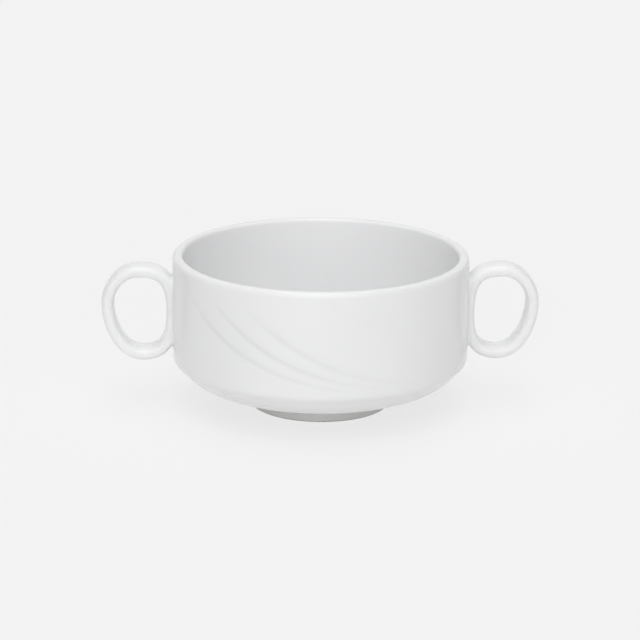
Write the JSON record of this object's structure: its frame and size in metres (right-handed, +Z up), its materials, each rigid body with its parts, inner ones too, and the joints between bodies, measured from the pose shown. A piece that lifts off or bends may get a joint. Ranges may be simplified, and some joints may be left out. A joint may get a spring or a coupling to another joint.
{
  "type": "lug soup bowl",
  "caption": "Stackable straight-walled soup bowl in glazed porcelain, with a looped lug at either side, swept grooves on the wall and a ring foot.",
  "frame": {"origin": "centre of the foot ring, on the surface that the bowl stands on", "axes": "+X through the right lug, -Y is the front seen in the picture, +Z up"},
  "size_m": [0.1596, 0.108, 0.0563],
  "materials": {
    "glazed_porcelain": "clear gloss glaze over white porcelain",
    "foot_porcelain": "gloss glaze, with a bare ground standing edge",
    "lug_porcelain": "clear gloss glaze over white porcelain",
    "glazed_slip": "clear gloss glaze over smoothed slip"
  },
  "bodies": {
    "root": {"bowl_body": "glazed_porcelain", "foot_ring": "foot_porcelain", "handle_left": "lug_porcelain", "handle_right": "lug_porcelain", "slip_joint_left": "glazed_slip", "slip_joint_right": "glazed_slip"}
  },
  "joints": []
}
